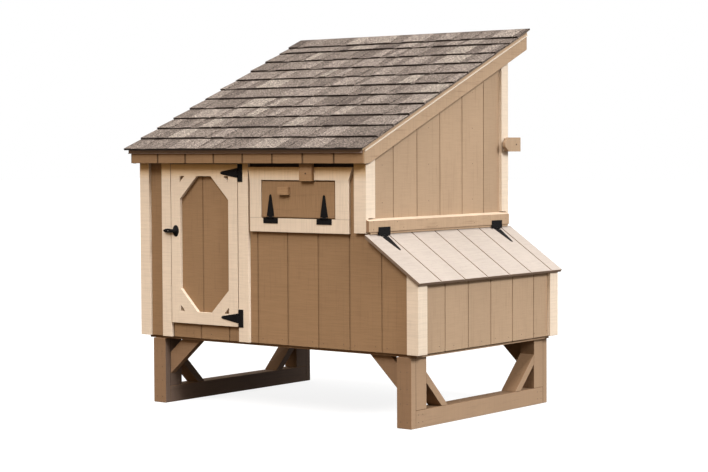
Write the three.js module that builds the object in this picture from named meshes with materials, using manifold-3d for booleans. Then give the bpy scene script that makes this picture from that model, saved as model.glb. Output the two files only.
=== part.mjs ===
// Chicken coop: a lean-to hen house on a skid base, with a panelled door, a drop-down vent flap and a
// nest box under a hinged lid.  Millimetres, +Z up.  The door side faces -Y and the nest box is at +X.
// Parts are laid out from the lower front left corner of the wall siding, and the whole group is then
// moved so that its origin is the centre of the ground rectangle under it.
import * as THREE from 'three';
import { mergeVertices } from 'three/addons/utils/BufferGeometryUtils.js';
import Module from 'manifold-3d';

const wasm = await Module();
wasm.setup();

// ---- driving dimensions -------------------------------------------------------------------------
const BODY_W = 1529;             // house, outer face to outer face of siding
const BODY_D = 1238;
const NEST_D = 320;              // how far the nest box stands out
const SIDING = 16;               // grooved plywood
const TRIM = 19;                 // one-by boards
const STUD = 38;                 // two-by lumber, thin way
const STUD_WIDE = 89;            // two-by-four, wide way
const GAP = 0.3;                 // between pieces that touch
const GROOVE_PITCH = 203.2;
const GROOVE_W = 9;
const GROOVE_DEPTH = 4;

const GROUND = -369;             // under the skids
const FRAME_BOTTOM = -15;        // floor frame hangs a little below the siding
const FLOOR_T = 12;

const ROOF_SLOPE = 0.431;        // rise over run, rear is high
const ROOF_AT_FRONT = 1033;      // underside of the roof deck above the front siding
const DECK_T = 16;
const EAVE_Y = -68;
const ROOF_REAR_Y = 1419;
const RAFTER_DEPTH = 64;
const RAKE_DEPTH = 87;
const FASCIA_BOTTOM = 940;

const LID_TOP_X = 1550;          // upper edge of the lid
const LID_TOP_Z = 586;
const LID_DROP = 0.682;          // fall over run
const LID_OUTER_X = 1887;
const LID_OVERHANG = 33;
const LID_GAP = 4.9;             // above the sloping nest walls
const LID_GROOVE_Y = 152;

const RAIL_Z = [597, 663];       // lid hinge rail, at its back
const RAIL_FRONT_Z = 653;        // its top slopes down to here, to shed rain
const CORNER_TRIM = 76;
const NEST_TRIM = 70;
const TRIM_FOOT_Z = 591;         // trims beside the lid stop here
const SIDE_TRIM_FOOT_Z = 666;

const DOOR = { x0: 214, x1: 693, z0: 78, z1: 936, stile: 65, chamfer: 124, diagonal: 64 };
const JAMB_LEFT = [144, 210];
const JAMB_RIGHT = [698, 768];
const LATCH = { x: 248, z: 575 };

const VENT = { x0: 781, x1: 1437, z0: 585, z1: 920, inX0: 860, inX1: 1352, inZ0: 657, inZ1: 853 };
const FLAP = { x0: 864, x1: 1348, z0: 662, z1: 846 };
const FLAP_PULL = { x: [985, 1055], z: [777, 818] };
const VENT_BUTTON = { x: 1174, z: 888, width: 83, back: 39, reach: 107 };
const CATCH = { y: 1281, z: 1032, width: 77, back: 43, reach: 109 };
const CATCH_BLOCK = { y: [1215, 1322], z: [996, 1066] };

const HINGE = { leaf: 2.2, knuckle: 4, pin: 2, bore: 2.4 };
const HINGE_AXIS = HINGE.knuckle + GAP;   // pin height above the face that the leaves lie on

// ---- derived ------------------------------------------------------------------------------------
const NEST_X = BODY_W + NEST_D;
const REAR_IN = BODY_D - SIDING;
const RAIL_OUT = BODY_W + STUD;
const FLOOR_Z = FRAME_BOTTOM + STUD_WIDE + GAP;
const FLOOR_TOP = FLOOR_Z + FLOOR_T;
const LID_ANGLE = Math.atan(LID_DROP);
const LID_PLUMB = SIDING / Math.cos(LID_ANGLE);
const ROOF_ANGLE = Math.atan(ROOF_SLOPE);
const DECK_PLUMB = DECK_T / Math.cos(ROOF_ANGLE);
const RAFTER_PLUMB = RAFTER_DEPTH / Math.cos(ROOF_ANGLE);

const roofZ = (y) => ROOF_AT_FRONT + ROOF_SLOPE * y;
const lidTopZ = (x) => LID_TOP_Z - LID_DROP * (x - LID_TOP_X);
const nestTopZ = (x) => lidTopZ(x) - LID_PLUMB - LID_GAP;

// ---- materials ----------------------------------------------------------------------------------
const paint = (color, roughness) => new THREE.MeshStandardMaterial({ color, roughness, metalness: 0 });
const siding = paint(0x8f6f4e, 0.85);
const trim = paint(0xdcc29a, 0.75);
const lumber = paint(0x8a6a4a, 0.85);
const wood = paint(0xc9a878, 0.8);
const asphalt = paint(0x6b6258, 0.95);
const iron = new THREE.MeshStandardMaterial({ color: 0x17171a, roughness: 0.5, metalness: 0.6 });

// ---- geometry helpers ---------------------------------------------------------------------------
const coop = new THREE.Group();

function add(name, geometry, material) {
  const mesh = new THREE.Mesh(geometry, material);
  mesh.name = name;
  coop.add(mesh);
  return mesh;
}

function box(x, y, z) {
  const geometry = new THREE.BoxGeometry(x[1] - x[0], y[1] - y[0], z[1] - z[0]);
  return geometry.translate((x[0] + x[1]) / 2, (y[0] + y[1]) / 2, (z[0] + z[1]) / 2);
}

function outline(points, holes = []) {
  const shape = new THREE.Shape(points.map(([u, v]) => new THREE.Vector2(u, v)));
  for (const hole of holes) {
    shape.holes.push(new THREE.Path(hole.map(([u, v]) => new THREE.Vector2(u, v))));
  }
  return shape;
}

const extrude = (shape, depth) => new THREE.ExtrudeGeometry(shape, { depth, bevelEnabled: false });

// An outline of (x, z) points carried along Y.
function alongY(points, y, holes) {
  const geometry = extrude(outline(points, holes), y[1] - y[0]);
  return geometry.rotateX(Math.PI / 2).translate(0, y[1], 0);
}

// An outline of (y, z) points carried along X.
function alongX(points, x, holes) {
  const turn = new THREE.Matrix4().makeBasis(
    new THREE.Vector3(0, 1, 0),
    new THREE.Vector3(0, 0, 1),
    new THREE.Vector3(1, 0, 0),
  );
  return extrude(outline(points, holes), x[1] - x[0]).applyMatrix4(turn).translate(x[0], 0, 0);
}

// An outline of (x, y) points carried along Z.
const alongZ = (points, z, holes) => extrude(outline(points, holes), z[1] - z[0]).translate(0, 0, z[0]);

function rectangle(u, v) {
  return [[u[0], v[0]], [u[1], v[0]], [u[1], v[1]], [u[0], v[1]]];
}

function cylinderY(radius, x, y, z, sides = 16) {
  const geometry = new THREE.CylinderGeometry(radius, radius, y[1] - y[0], sides);
  return geometry.translate(x, (y[0] + y[1]) / 2, z);
}

function toSolid(geometry) {
  const bare = geometry.clone();
  bare.deleteAttribute('normal');
  bare.deleteAttribute('uv');
  const merged = mergeVertices(bare, 1e-4);
  const vertProperties = new Float32Array(merged.attributes.position.array);
  const triVerts = new Uint32Array(merged.index.array);
  return new wasm.Manifold(new wasm.Mesh({ numProp: 3, vertProperties, triVerts }));
}

function toGeometry(solid) {
  const mesh = solid.getMesh();
  const geometry = new THREE.BufferGeometry();
  geometry.setAttribute('position', new THREE.BufferAttribute(new Float32Array(mesh.vertProperties), 3));
  geometry.setIndex(new THREE.BufferAttribute(new Uint32Array(mesh.triVerts), 1));
  geometry.computeVertexNormals();
  return geometry;
}

const join = (...pieces) => toGeometry(pieces.map(toSolid).reduce((a, b) => a.add(b)));
function cut(piece, ...tools) {
  return toGeometry(tools.map(toSolid).reduce((a, b) => a.subtract(b), toSolid(piece)));
}

// Groove positions on a sheet: every pitch from a first one, inside the span.
function grooves(first, span) {
  const list = [];
  for (let at = first - 2 * GROOVE_PITCH; at < span[1] - GROOVE_W; at += GROOVE_PITCH) {
    if (at > span[0] + GROOVE_W) {
      list.push(at);
    }
  }
  return list;
}

const TALL = [GROUND, 2500];
const FRONT_GROOVE = 413;
const SIDE_GROOVE = 232;
const DOOR_GROOVE = 431;           // the door is cut from another sheet

function grooveOnY(x, face, side) {
  const deep = side < 0 ? [face - 1, face + GROOVE_DEPTH] : [face - GROOVE_DEPTH, face + 1];
  return box([x - GROOVE_W / 2, x + GROOVE_W / 2], deep, TALL);
}

function grooveOnX(y, face, side) {
  const deep = side < 0 ? [face - 1, face + GROOVE_DEPTH] : [face - GROOVE_DEPTH, face + 1];
  return box(deep, [y - GROOVE_W / 2, y + GROOVE_W / 2], TALL);
}

// Everything above the roof deck's underside, for boards that run up to it.
function aboveRoof(gap = 0.5) {
  const y = [-200, 1600];
  const points = [[y[0], roofZ(y[0]) - gap], [y[1], roofZ(y[1]) - gap], [y[1], 3000], [y[0], 3000]];
  return alongX(points, [-200, 2100]);
}

// Everything above the sloping tops of the nest walls, outside the house.
function aboveNest(gap = 0) {
  const x = [BODY_W + 0.5, 2100];
  const points = [[x[0], nestTopZ(LID_TOP_X) - gap], [LID_TOP_X, nestTopZ(LID_TOP_X) - gap],
    [x[1], nestTopZ(x[1]) - gap], [x[1], 3000], [x[0], 3000]];
  return alongY(points, [-200, 1600]);
}

// ---- base ---------------------------------------------------------------------------------------
const SIDE_FRAME_X = [55, 1721];          // left edge of the boards of each side frame
const POST_TOP = FRAME_BOTTOM - GAP;
const RAIL_TOP = GROUND + STUD_WIDE;
const SIDE_BRACE_RUN = 131;
const LEFT_KNEE = { run: 228, drop: 196 };
const RIGHT_KNEE = { run: 195, drop: 186 };

function leg(name, x, front) {
  const near = front ? 0 : BODY_D - STUD;
  const board = box([x, x + STUD_WIDE], [near, near + STUD], [GROUND, POST_TOP]);
  const postY = front ? [STUD, STUD + STUD_WIDE] : [BODY_D - STUD - STUD_WIDE, BODY_D - STUD];
  const post = box([x, x + STUD_WIDE], postY, [RAIL_TOP + GAP, POST_TOP]);
  add(name, join(board, post), lumber);
}

function skid(name, x) {
  const y = [STUD + GAP, BODY_D - STUD - GAP];
  add(name, box([x, x + STUD_WIDE], y, [GROUND, RAIL_TOP]), lumber);
}

// A flat two-by-four from the post down to the skid, cut to fit both.
function sideBrace(name, x, front) {
  const run = SIDE_BRACE_RUN;
  const plumb = STUD * Math.SQRT2;
  const postFace = STUD + STUD_WIDE + GAP;
  const foot = RAIL_TOP + GAP;
  const points = [[postFace, foot + run], [postFace + run, foot], [postFace + run + plumb, foot],
    [postFace, foot + run + plumb]];
  const placed = front ? points : points.map(([y, z]) => [BODY_D - y, z]).reverse();
  add(name, alongX(placed, [x, x + STUD_WIDE]), lumber);
}

// An upright two-by-four from the post up to the floor frame, beside the leg board.
function kneeBrace(name, postFace, inward, front, { run, drop }) {
  const slant = drop / run;
  const plumb = STUD_WIDE * Math.hypot(1, slant);
  const start = postFace + inward * GAP;
  const points = [[start, POST_TOP - drop], [start + inward * run, POST_TOP],
    [start + inward * (run - plumb / slant), POST_TOP], [start, POST_TOP - drop + plumb]];
  const y = front ? [STUD + GAP, 2 * STUD + GAP] : [BODY_D - 2 * STUD - GAP, BODY_D - STUD - GAP];
  add(name, alongY(inward > 0 ? points : points.reverse(), y), lumber);
}

for (const [side, x] of [['left', SIDE_FRAME_X[0]], ['right', SIDE_FRAME_X[1]]]) {
  skid(`${side}_skid`, x);
  for (const front of [true, false]) {
    const end = front ? 'front' : 'rear';
    leg(`${side}_${end}_leg`, x, front);
    sideBrace(`${side}_${end}_side_brace`, x, front);
  }
}
kneeBrace('left_front_knee_brace', SIDE_FRAME_X[0] + STUD_WIDE, 1, true, LEFT_KNEE);
kneeBrace('right_front_knee_brace', SIDE_FRAME_X[1], -1, true, RIGHT_KNEE);
kneeBrace('right_rear_knee_brace', SIDE_FRAME_X[1], -1, false, RIGHT_KNEE);

// ---- floor --------------------------------------------------------------------------------------
const FLOOR_X = [SIDING + GAP, NEST_X - SIDING - GAP];
const FLOOR_Y = [SIDING + GAP, REAR_IN - GAP];
const JOISTS = 4;

function floorFrame() {
  const z = [FRAME_BOTTOM, FRAME_BOTTOM + STUD_WIDE];
  const pieces = [
    box(FLOOR_X, [FLOOR_Y[0], FLOOR_Y[0] + STUD], z),
    box(FLOOR_X, [FLOOR_Y[1] - STUD, FLOOR_Y[1]], z),
  ];
  const span = FLOOR_X[1] - FLOOR_X[0] - STUD;
  for (let i = 0; i <= JOISTS; i += 1) {
    const x = FLOOR_X[0] + (span * i) / JOISTS;
    pieces.push(box([x, x + STUD], FLOOR_Y, z));
  }
  add('floor_frame', join(...pieces), lumber);
}
floorFrame();
add('floor_panel', box(FLOOR_X, FLOOR_Y, [FLOOR_Z, FLOOR_TOP]), wood);

// ---- walls --------------------------------------------------------------------------------------
const RAFTER_X = [190, BODY_W / 2, BODY_W - 190];
const VENT_HOLE_IN = { side: 12, foot: 14, head: 10 };   // how much smaller the hole is than the flap

// The long sheets run past the house to close the nest box's ends.
function gableOutline(top) {
  return [[0, 0], [NEST_X, 0], [NEST_X, top], [0, top]];
}

function frontWall() {
  const top = roofZ(0) - 1;
  const doorway = box([DOOR.x0 - 1, DOOR.x1 + 2], [-1, SIDING + 1], [DOOR.z0 + 2, DOOR.z1 + 1]);
  const ventHole = box([FLAP.x0 + VENT_HOLE_IN.side, FLAP.x1 - VENT_HOLE_IN.side], [-1, SIDING + 1],
    [FLAP.z0 + VENT_HOLE_IN.foot, FLAP.z1 - VENT_HOLE_IN.head]);
  const houseEnd = box([BODY_W, 2100], [-1, SIDING + 1], [nestTopZ(LID_TOP_X), 2500]);
  const slots = RAFTER_X.map((x) => box([x - STUD / 2 - 1, x + STUD / 2 + 1], [-1, SIDING + 1],
    [roofZ(0) - RAFTER_PLUMB - 1, 2500]));
  const lines = grooves(FRONT_GROOVE, [0, NEST_X]).map((x) => grooveOnY(x, 0, -1));
  const sheet = alongY(gableOutline(top), [0, SIDING]);
  add('front_wall', cut(sheet, doorway, ventHole, houseEnd, aboveNest(), ...slots, ...lines), siding);
}

function rearWall() {
  const top = roofZ(REAR_IN) - 1;
  const houseEnd = box([BODY_W, 2100], [REAR_IN - 1, BODY_D + 1], [nestTopZ(LID_TOP_X), 2500]);
  const slots = RAFTER_X.map((x) => box([x - STUD / 2 - 1, x + STUD / 2 + 1], [REAR_IN - 1, BODY_D + 1],
    [roofZ(REAR_IN) - RAFTER_PLUMB - 1, 2500]));
  const lines = grooves(FRONT_GROOVE, [0, NEST_X]).map((x) => grooveOnY(x, BODY_D, 1));
  const sheet = alongY(gableOutline(top), [REAR_IN, BODY_D]);
  add('rear_wall', cut(sheet, houseEnd, aboveNest(), ...slots, ...lines), siding);
}

function sideWall(name, x, foot, outward) {
  const face = outward < 0 ? x[0] : x[1];
  const y = [SIDING + GAP, REAR_IN - GAP];
  const points = [[y[0], foot], [y[1], foot], [y[1], roofZ(y[1]) - 1], [y[0], roofZ(y[0]) - 1]];
  const lines = grooves(SIDE_GROOVE, y).map((at) => grooveOnX(at, face, outward));
  add(name, cut(alongX(points, x), ...lines), siding);
}

function nestWall() {
  const y = [SIDING + GAP, REAR_IN - GAP];
  const x = [NEST_X - SIDING, NEST_X];
  const lines = grooves(SIDE_GROOVE, y).map((at) => grooveOnX(at, NEST_X, 1));
  add('nest_wall', cut(box(x, y, [0, lidTopZ(x[1]) - LID_PLUMB + 1]), aboveNest(), ...lines), siding);
}

frontWall();
rearWall();
sideWall('left_wall', [0, SIDING], 0, -1);
sideWall('right_wall', [BODY_W - SIDING, BODY_W], RAIL_Z[0], 1);
nestWall();

// ---- trims --------------------------------------------------------------------------------------
// Corner boards, an L in plan: the front or rear leg lies on the long sheets, the side leg on a side.
function cornerL(x, y, sideX, sideY, widthX, widthY) {
  const out = TRIM;
  return [[x + sideX * out, y + sideY * out], [x - sideX * (widthX - out), y + sideY * out],
    [x - sideX * (widthX - out), y + sideY * GAP], [x + sideX * GAP, y + sideY * GAP],
    [x + sideX * GAP, y - sideY * (widthY - out)], [x + sideX * out, y - sideY * (widthY - out)]];
}

function cornerTrim(name, corner, sides, widths, z, tools) {
  let points = cornerL(corner[0], corner[1], sides[0], sides[1], widths[0], widths[1]);
  if (sides[0] * sides[1] < 0) {
    points = points.reverse();
  }
  add(name, cut(alongZ(points, z), ...tools), trim);
}

const underEave = box([-50, 1700], [-60, -0.05], [FASCIA_BOTTOM + 9, 2500]);
const HOUSE_TRIM = [CORNER_TRIM, CORNER_TRIM];
const FRONT_LEFT_TRIM = [68, CORNER_TRIM];
const REAR_TRIM = [CORNER_TRIM, 64];

function clearOfRail(y) {
  return box([BODY_W - 1, BODY_W + 60], y, [0, SIDE_TRIM_FOOT_Z]);
}

cornerTrim('front_left_corner_trim', [0, 0], [-1, -1], FRONT_LEFT_TRIM, [0, 1200], [aboveRoof(), underEave]);
cornerTrim('front_right_corner_trim', [BODY_W, 0], [1, -1], HOUSE_TRIM, [TRIM_FOOT_Z, 1200],
  [aboveRoof(), underEave, clearOfRail([-0.05, 100])]);
cornerTrim('rear_left_corner_trim', [0, BODY_D], [-1, 1], REAR_TRIM, [0, 1700], [aboveRoof()]);
cornerTrim('rear_right_corner_trim', [BODY_W, BODY_D], [1, 1], REAR_TRIM, [TRIM_FOOT_Z, 1700],
  [aboveRoof(), clearOfRail([1100, BODY_D + 0.05])]);
const NEST_WIDTHS = [NEST_TRIM, CORNER_TRIM];
cornerTrim('nest_front_corner_trim', [NEST_X, 0], [1, -1], NEST_WIDTHS, [0, 500], [aboveNest()]);
cornerTrim('nest_rear_corner_trim', [NEST_X, BODY_D], [1, 1], NEST_WIDTHS, [0, 500], [aboveNest()]);

const ON_FRONT = [-TRIM, -GAP];
const JAMB_Z = [0, FASCIA_BOTTOM + 8];
add('left_door_jamb', box(JAMB_LEFT, ON_FRONT, JAMB_Z), trim);
add('right_door_jamb', box(JAMB_RIGHT, ON_FRONT, JAMB_Z), trim);

// ---- roof ---------------------------------------------------------------------------------------
const RAKE_X = [BODY_W + TRIM + GAP, BODY_W + 2 * TRIM];
const FASCIA_Y = [-66, -54];
const EAVE_BLOCK_Z = FASCIA_BOTTOM + 10;
const RAKE_TAIL = [938, 942];             // level cut at the low end of the rake
const RAKE_REAR = ROOF_REAR_Y - 2;
const BUTTON_POCKET = [VENT_BUTTON.x - 52, VENT_BUTTON.x + 118];   // the raised vent button turns in here

function slopedBand(y, top, depth) {
  return [[y[0], roofZ(y[0]) + top - depth], [y[1], roofZ(y[1]) + top - depth],
    [y[1], roofZ(y[1]) + top], [y[0], roofZ(y[0]) + top]];
}

function rake(name, x) {
  const y0 = FASCIA_Y[1] + GAP;
  const tail = (RAKE_TAIL[1] - ROOF_AT_FRONT + RAKE_DEPTH + GAP) / ROOF_SLOPE;
  const points = [[y0, RAKE_TAIL[0]], [tail, RAKE_TAIL[1]], [RAKE_REAR, roofZ(RAKE_REAR) - GAP - RAKE_DEPTH],
    [RAKE_REAR, roofZ(RAKE_REAR) - GAP], [y0, roofZ(y0) - GAP]];
  add(name, alongX(points, x), siding);
}

// Rafters joined by the block under the eave, which stops either side of the vent's turn button, and by
// the board across their tails.
function roofFrame() {
  const y = [FASCIA_Y[1] + GAP, ROOF_REAR_Y - TRIM];
  const top = -GAP;
  const x = [-TRIM, BODY_W + TRIM];
  const rafter = slopedBand(y, top, RAFTER_PLUMB);
  const pieces = RAFTER_X.map((at) => alongX(rafter, [at - STUD / 2, at + STUD / 2]));
  const block = [[y[0], EAVE_BLOCK_Z], [-TRIM - GAP, EAVE_BLOCK_Z], [-TRIM - GAP, roofZ(-TRIM - GAP) + top],
    [y[0], roofZ(y[0]) + top]];
  pieces.push(alongX(block, [x[0], BUTTON_POCKET[0]]));
  pieces.push(alongX(block, [BUTTON_POCKET[1], x[1]]));
  pieces.push(alongX(slopedBand([y[1] - 1, RAKE_REAR], top, RAKE_DEPTH), x));
  add('roof_frame', join(...pieces), lumber);
}

function frontFascia() {
  const sheet = box([-TRIM - TRIM, RAKE_X[1]], FASCIA_Y, [FASCIA_BOTTOM, roofZ(FASCIA_Y[0]) - GAP]);
  const lines = grooves(FRONT_GROOVE - 47, [-TRIM, RAKE_X[1]]).map((x) => grooveOnY(x, FASCIA_Y[0], -1));
  add('front_fascia', cut(sheet, ...lines), siding);
}

const SHINGLE = { x: [-56, BODY_W + 56], y: [-98, 1425], butt: 8, base: 3, cap: 11 };
const EVEN_COURSES = 10;
const EXPOSURE = 143;            // of the even courses, along the slope
const SHORT_EXPOSURE = 93;       // of the one under the top course

// Where each course starts and ends, up the slope; the top course takes what is left.
function courseEdges() {
  const cos = Math.cos(ROOF_ANGLE);
  const edges = [];
  for (let i = 0; i <= EVEN_COURSES; i += 1) {
    edges.push(SHINGLE.y[0] + i * EXPOSURE * cos);
  }
  return [...edges, edges.at(-1) + SHORT_EXPOSURE * cos, SHINGLE.y[1]];
}

// Courses of shingles: each one is thickest at its lower edge and runs out under the next.
function shingles() {
  const cos = Math.cos(ROOF_ANGLE);
  const bed = (y) => roofZ(y) + DECK_PLUMB + GAP;
  const edges = courseEdges();
  const points = [[SHINGLE.y[1], bed(SHINGLE.y[1])]];
  const upper = [];
  for (let i = 0; i < edges.length - 1; i += 1) {
    const top = i === edges.length - 2;
    upper.push([edges[i], bed(edges[i]) + (SHINGLE.base + SHINGLE.butt) / cos]);
    upper.push([edges[i + 1], bed(edges[i + 1]) + (top ? SHINGLE.cap : SHINGLE.base) / cos]);
  }
  points.push(...upper.reverse());
  points.push([SHINGLE.y[0], bed(SHINGLE.y[0])]);
  add('roof_shingles', alongX(points, SHINGLE.x), asphalt);
}

rake('left_rake', [-RAKE_X[1] + BODY_W, -RAKE_X[0] + BODY_W]);
rake('right_rake', RAKE_X);
roofFrame();
frontFascia();
add('roof_deck', alongX(slopedBand([EAVE_Y, ROOF_REAR_Y], DECK_PLUMB, DECK_PLUMB),
  [-2 * TRIM, BODY_W + 2 * TRIM]), wood);
shingles();

// ---- hinges -------------------------------------------------------------------------------------
// A tee hinge in its own frame: pin along Z, the fixed leaf towards +X, the strap towards -X, both
// lying on the plane y = HINGE_AXIS behind the pin.
const KNUCKLE_SIDES = 12;

function roundBar(radius, length) {
  return new THREE.CylinderGeometry(radius, radius, length, KNUCKLE_SIDES).rotateX(Math.PI / 2);
}

function ring(z, bore) {
  const circle = (radius) => {
    const list = [];
    for (let i = 0; i < KNUCKLE_SIDES; i += 1) {
      const angle = (2 * Math.PI * i) / KNUCKLE_SIDES;
      list.push([radius * Math.cos(angle), radius * Math.sin(angle)]);
    }
    return list;
  };
  return alongZ(circle(HINGE.knuckle), z, bore ? [circle(bore)] : []);
}

function fixedLeaf(plate) {
  const half = plate.length / 2;
  const third = plate.knuckle / 2;
  const leafY = [HINGE_AXIS - GAP - HINGE.leaf, HINGE_AXIS - GAP];
  const leaf = alongY(rectangle([HINGE.bore, plate.width], [-half, half]), leafY);
  const slot = box([-HINGE.knuckle, HINGE.knuckle + 0.6], [-10, 10], [-third - GAP, third + GAP]);
  const pin = roundBar(HINGE.pin, 2 * third + 4);
  const ends = [ring([-third - plate.end, -third - GAP], 0), ring([third + GAP, third + plate.end], 0)];
  return toGeometry(toSolid(leaf).subtract(toSolid(slot)).add(toSolid(pin)).add(toSolid(ends[0]))
    .add(toSolid(ends[1])));
}

function strapLeaf(strap, knuckle) {
  const third = knuckle / 2;
  const leafY = [HINGE_AXIS - GAP - HINGE.leaf, HINGE_AXIS - GAP];
  const wide = strap.width / 2;
  const neck = third - GAP;
  const tip = strap.tip / 2;
  const points = [[-HINGE.bore, -neck], [-HINGE.bore, neck], [-strap.shoulder, neck], [-strap.shoulder, wide],
    [-strap.length + tip, tip], [-strap.length, 0], [-strap.length + tip, -tip], [-strap.shoulder, -wide],
    [-strap.shoulder, -neck]];
  const roll = ring([-neck, neck], HINGE.bore);
  const bore = roundBar(HINGE.bore, knuckle + 10);
  return toGeometry(toSolid(alongY(points, leafY)).add(toSolid(roll)).subtract(toSolid(bore)));
}

const KNUCKLE = 22;
const TEE_PLATE = { length: 94, width: 35, knuckle: KNUCKLE, end: 14 };
const TEE_STRAP = { length: 121, width: 50, shoulder: 7, tip: 14 };
const SMALL_PLATE = { length: 98, width: 30, knuckle: KNUCKLE, end: 14 };

// Sets a hinge down: basis gives the directions of its own X (fixed leaf), Y (into the face) and Z.
function hinge(name, plate, strap, origin, basis, foldBack = 0) {
  const matrix = new THREE.Matrix4().makeBasis(...basis).setPosition(...origin);
  const fixed = add(`${name}_plate`, fixedLeaf(plate), iron);
  fixed.applyMatrix4(matrix);
  const strapGeometry = strapLeaf(strap, plate.knuckle).rotateZ(foldBack);
  const moving = add(`${name}_strap`, strapGeometry, iron);
  moving.applyMatrix4(matrix);
}

const X = new THREE.Vector3(1, 0, 0);
const Y = new THREE.Vector3(0, 1, 0);
const Z = new THREE.Vector3(0, 0, 1);
const ON_TRIM = -TRIM - HINGE_AXIS;

// ---- door ---------------------------------------------------------------------------------------
const DOOR_HINGE_X = 695.5;
const DOOR_HINGE_Z = [124, 889];

function octagon(x, z, chamfer) {
  return [[x[0] + chamfer, z[0]], [x[1] - chamfer, z[0]], [x[1], z[0] + chamfer], [x[1], z[1] - chamfer],
    [x[1] - chamfer, z[1]], [x[0] + chamfer, z[1]], [x[0], z[1] - chamfer], [x[0], z[0] + chamfer]];
}

// Stiles, rails and corner diagonals, planted on the door's grooved sheet.
function doorTrim() {
  const x = [DOOR.x0 + DOOR.stile, DOOR.x1 - DOOR.stile];
  const z = [DOOR.z0 + DOOR.stile, DOOR.z1 - DOOR.stile];
  const notch = DOOR.chamfer - DOOR.diagonal * Math.SQRT2;
  const through = [-TRIM - 1, 1];
  const holes = [alongY(octagon(x, z, DOOR.chamfer), through)];
  for (const [cx, sx] of [[x[0], 1], [x[1], -1]]) {
    for (const [cz, sz] of [[z[0], 1], [z[1], -1]]) {
      const corner = [[cx, cz], [cx + sx * notch, cz], [cx, cz + sz * notch]];
      holes.push(alongY(sx * sz > 0 ? corner : corner.reverse(), through));
    }
  }
  const plate = box([DOOR.x0, DOOR.x1], [-TRIM, 0], [DOOR.z0, DOOR.z1]);
  add('door_trim', cut(plate, ...holes, cylinderY(6.5, LATCH.x, [-30, 30], LATCH.z)), trim);
}

function doorPanel() {
  const x = [DOOR.x0 + 3, DOOR.x1 - 3];
  const sheet = box(x, [GAP, SIDING], [DOOR.z0 + 8, DOOR.z1 - 3]);
  const lines = grooves(DOOR_GROOVE, x).map((at) => grooveOnY(at, GAP, -1));
  add('door_panel', cut(sheet, cylinderY(6.5, LATCH.x, [-30, 30], LATCH.z), ...lines), siding);
}

// Pointed handle outside, spindle through the door and a bar inside that turns behind the wall.
function latchLever() {
  const tip = LATCH.x - 89;
  const blade = [[tip, LATCH.z], [tip + 16, LATCH.z - 8],
    [LATCH.x - 22, LATCH.z - 6], [LATCH.x, LATCH.z - 13],
    [LATCH.x + 13, LATCH.z], [LATCH.x, LATCH.z + 13], [LATCH.x - 22, LATCH.z + 6], [tip + 16, LATCH.z + 8]];
  const handle = alongY(blade, [-36, -28]);
  const hub = cylinderY(11, LATCH.x, [-29, -22], LATCH.z);
  const spindle = cylinderY(5, LATCH.x, [-24, 23], LATCH.z);
  const bar = box([LATCH.x - 8, LATCH.x + 8], [18, 23], [LATCH.z - 62, LATCH.z + 8]);
  add('door_latch_lever', join(handle, hub, spindle, bar), iron);
}

doorTrim();
doorPanel();
latchLever();
for (const [place, z] of [['lower', DOOR_HINGE_Z[0]], ['upper', DOOR_HINGE_Z[1]]]) {
  hinge(`door_${place}_hinge`, TEE_PLATE, TEE_STRAP, [DOOR_HINGE_X, ON_TRIM, z], [X, Y, Z]);
}

// ---- vent ---------------------------------------------------------------------------------------
const HEADER_EARS = [12, 26];               // how far the header's top runs past the stiles, left and right
const VENT_HINGE_X = [924, 1281];
const VENT_HINGE_Z = 659.5;

function ventFrame() {
  const v = VENT;
  const points = [[v.x0, v.z0], [v.x1, v.z0], [v.x1, v.inZ1], [v.x1 + HEADER_EARS[1], v.z1],
    [v.x0 - HEADER_EARS[0], v.z1], [v.x0, v.inZ1]];
  add('vent_frame', alongY(points, ON_FRONT, [rectangle([v.inX0, v.inX1], [v.inZ0, v.inZ1])]), trim);
}

function ventFlap() {
  const y = [-TRIM, -TRIM + SIDING];
  const sheet = box([FLAP.x0, FLAP.x1], y, [FLAP.z0, FLAP.z1]);
  add('vent_flap', sheet, siding);
  add('vent_flap_pull', box(FLAP_PULL.x, [-2 * TRIM, -TRIM - GAP], FLAP_PULL.z), siding);
}

// A turn button laid along +U from its pivot at 0, with a blunt pointed end.
function buttonOutline({ width, back, reach }) {
  const half = width / 2;
  const tip = 11;
  const taper = 38;
  return [[-back, -half], [reach - taper, -half], [reach, -tip],
    [reach, tip], [reach - taper, half], [-back, half]];
}

ventFrame();
ventFlap();

// Drawn turned up, clear of the flap; half a turn brings it down over the flap's top edge.
function ventButton() {
  const points = buttonOutline(VENT_BUTTON).map(([u, v]) => [VENT_BUTTON.x - v, VENT_BUTTON.z + u]);
  add('vent_turn_button', alongY(points, [-2 * TRIM - GAP, -TRIM - GAP]), siding);
}

ventButton();
VENT_HINGE_X.forEach((x, i) => {
  const basis = [Z.clone().negate(), Y, X];
  const name = `vent_${i === 0 ? 'left' : 'right'}_hinge`;
  hinge(name, SMALL_PLATE, TEE_STRAP, [x, ON_TRIM, VENT_HINGE_Z], basis);
});

// ---- nest box -----------------------------------------------------------------------------------
const NESTS = 3;
const NEST_BOARD = 12;
const NEST_LIP = 110;
const LID_Y = [-LID_OVERHANG, BODY_D + LID_OVERHANG];
const LID_AXIS_X = RAIL_OUT + HINGE_AXIS;
const LID_AXIS_Z = lidTopZ(LID_AXIS_X) + HINGE_AXIS / Math.cos(LID_ANGLE);
const LID_HINGE_Y = [106, 1116];

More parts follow.
